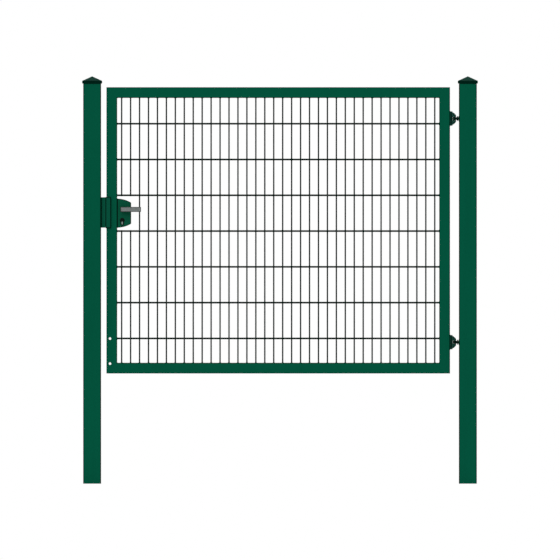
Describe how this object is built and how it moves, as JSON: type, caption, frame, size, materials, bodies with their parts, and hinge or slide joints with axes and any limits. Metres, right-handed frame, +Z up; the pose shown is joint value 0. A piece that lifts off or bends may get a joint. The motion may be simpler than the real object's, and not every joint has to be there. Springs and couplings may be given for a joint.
{
  "type": "tubular frame gate",
  "caption": "Single swing gate with a tubular frame, double-rod mesh infill, lever lock and two square posts with pyramid caps.",
  "frame": {"origin": "centre of the hinge post's bottom end", "axes": "+Z up along the posts, the closed leaf lies towards -X, and it opens away from the front, towards +Y"},
  "size_m": [2.212, 0.112, 2.277],
  "materials": {
    "green_paint": "satin",
    "case_paint": "satin",
    "keep_paint": "satin",
    "cap_paint": "matte",
    "mesh_paint": "satin",
    "hinge_steel": "satin",
    "zinc_steel": "satin",
    "stainless_steel": "satin",
    "nickel_brass": "satin",
    "black_plastic": "matte",
    "grey_aluminium": "satin"
  },
  "bodies": {
    "posts": {"latch_post": "green_paint", "hinge_post": "green_paint", "latch_post_cap": "cap_paint", "hinge_post_cap": "cap_paint", "keep_channel": "keep_paint", "stop_bar": "keep_paint", "keep_screws": "zinc_steel", "eye_bolt_upper": "hinge_steel", "eye_bolt_lower": "hinge_steel", "lock_nut_upper": "hinge_steel", "lock_nut_lower": "hinge_steel", "post_insert_upper": "zinc_steel", "post_insert_lower": "zinc_steel"},
    "leaf": {"top_rail": "green_paint", "bottom_rail": "green_paint", "latch_stile": "green_paint", "hinge_stile": "green_paint", "mesh_latch_side": "mesh_paint", "mesh_hinge_side": "mesh_paint", "hinge_bracket_upper": "hinge_steel", "hinge_bracket_lower": "hinge_steel", "hinge_pin_upper": "zinc_steel", "hinge_pin_lower": "zinc_steel", "lock_case": "case_paint", "lock_body": "zinc_steel", "lock_forend": "stainless_steel", "forend_screws": "zinc_steel", "latch_bolt": "zinc_steel", "dead_bolt": "zinc_steel", "key_cylinder": "nickel_brass", "escutcheon_front": "black_plastic", "escutcheon_rear": "black_plastic"},
    "lever": {"lever_front": "grey_aluminium", "lever_rear": "grey_aluminium", "spindle": "zinc_steel"}
  },
  "joints": [
    {"name": "leaf_swing", "type": "hinge", "parent": "posts", "child": "leaf", "pos_m": [-0.075, 0, 1.416], "axis": [0, 0, -1], "range_deg": [0, 90]},
    {"name": "lever_turn", "type": "hinge", "parent": "leaf", "child": "lever", "pos_m": [-1.932, 0, 1.533], "axis": [0, 1, 0], "range_deg": [0, 35], "stiffness_Nm_per_rad": 0.6, "springref_deg": -28.65}
  ]
}
